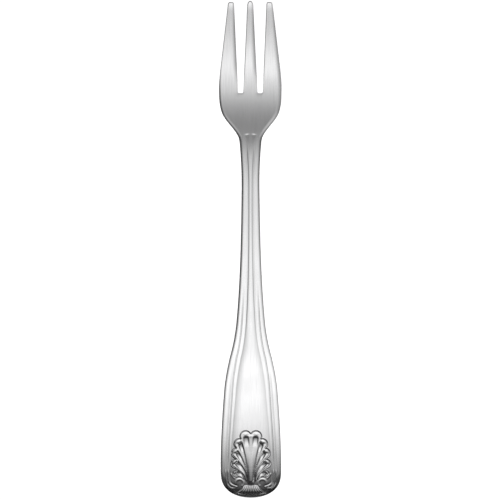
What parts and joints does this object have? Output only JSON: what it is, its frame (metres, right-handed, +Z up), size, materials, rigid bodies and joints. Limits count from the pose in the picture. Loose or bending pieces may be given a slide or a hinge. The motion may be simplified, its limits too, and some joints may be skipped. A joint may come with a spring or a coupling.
{
  "type": "oyster fork",
  "caption": "Slim all-metal oyster fork with tapering tines, an arched threaded stem and a wide round-ended handle with a raised shell, for spearing shellfish.",
  "frame": {"origin": "centre of the fork's bounding box in plan, on the table that the fork lies on", "axes": "+Y along the fork towards the tips of the tines, +Z up out of the ornamented face, +X across to the right"},
  "size_m": [0.019, 0.15, 0.0077],
  "materials": {
    "polished_steel": "bright polished stainless steel with fine lengthwise polishing grain and darker coined recesses"
  },
  "bodies": {
    "root": {"fork": "polished_steel"}
  },
  "joints": []
}
